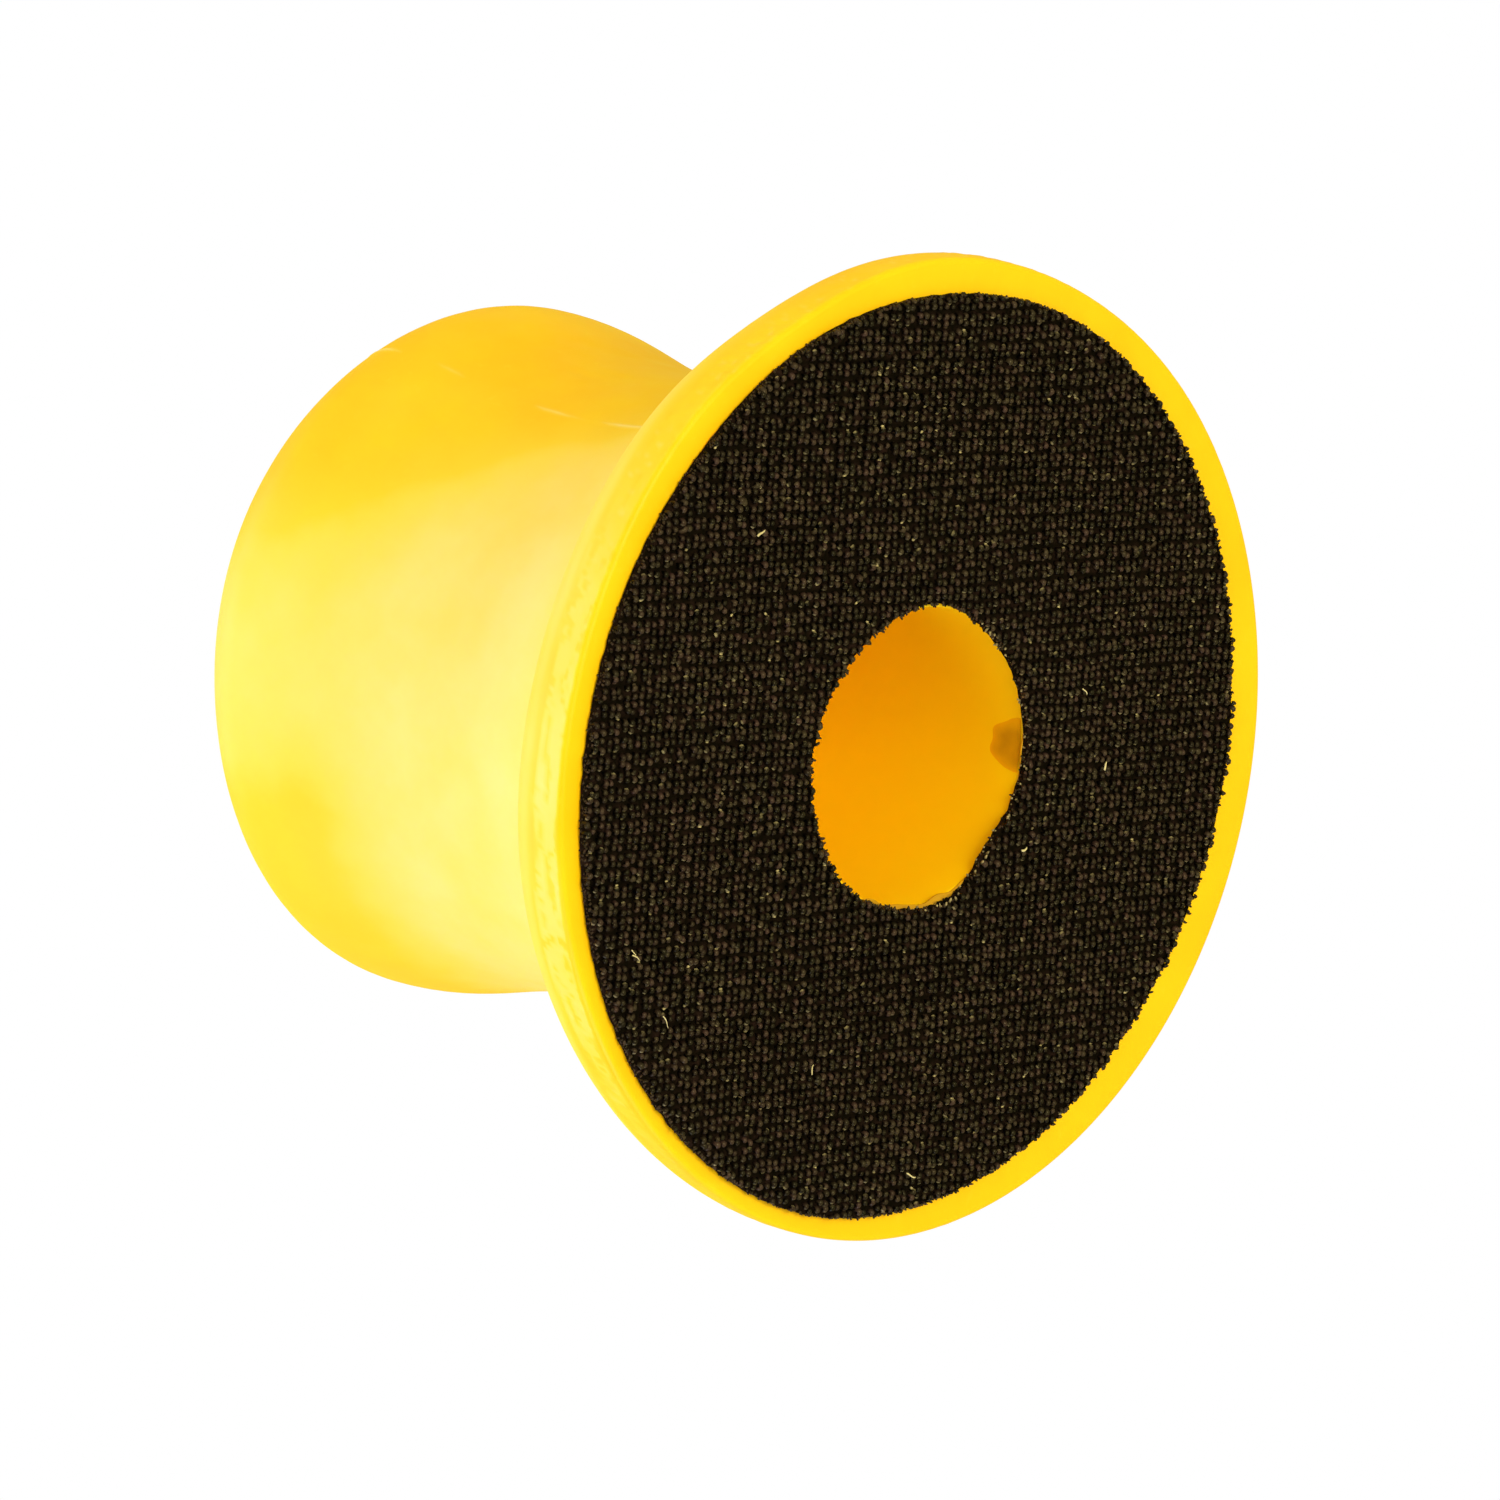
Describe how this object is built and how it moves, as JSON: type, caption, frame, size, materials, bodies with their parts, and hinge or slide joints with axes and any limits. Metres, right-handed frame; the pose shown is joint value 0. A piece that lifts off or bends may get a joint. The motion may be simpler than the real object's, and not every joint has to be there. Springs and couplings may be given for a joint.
{
  "type": "hand polishing pad holder",
  "caption": "Palm grip with a round flange and a hook-fabric face that holds a soft polishing or sanding pad by hand, with a blind bore behind the face.",
  "frame": {"origin": "centre of the hook face, on the plane of the hook tips", "axes": "+Z along the grip's axis, from the hook face towards the palm end"},
  "size_m": [0.08, 0.08, 0.065],
  "materials": {
    "grip_moulding": "smooth satin moulded polyurethane skin",
    "dried_glue": "dried contact glue, dark and slightly glossy",
    "woven_hook": "woven nylon hook fabric"
  },
  "bodies": {
    "root": {"grip_body": "grip_moulding", "glue_film": "dried_glue", "hook_ground": "woven_hook", "hook_pile": "woven_hook"}
  },
  "joints": []
}
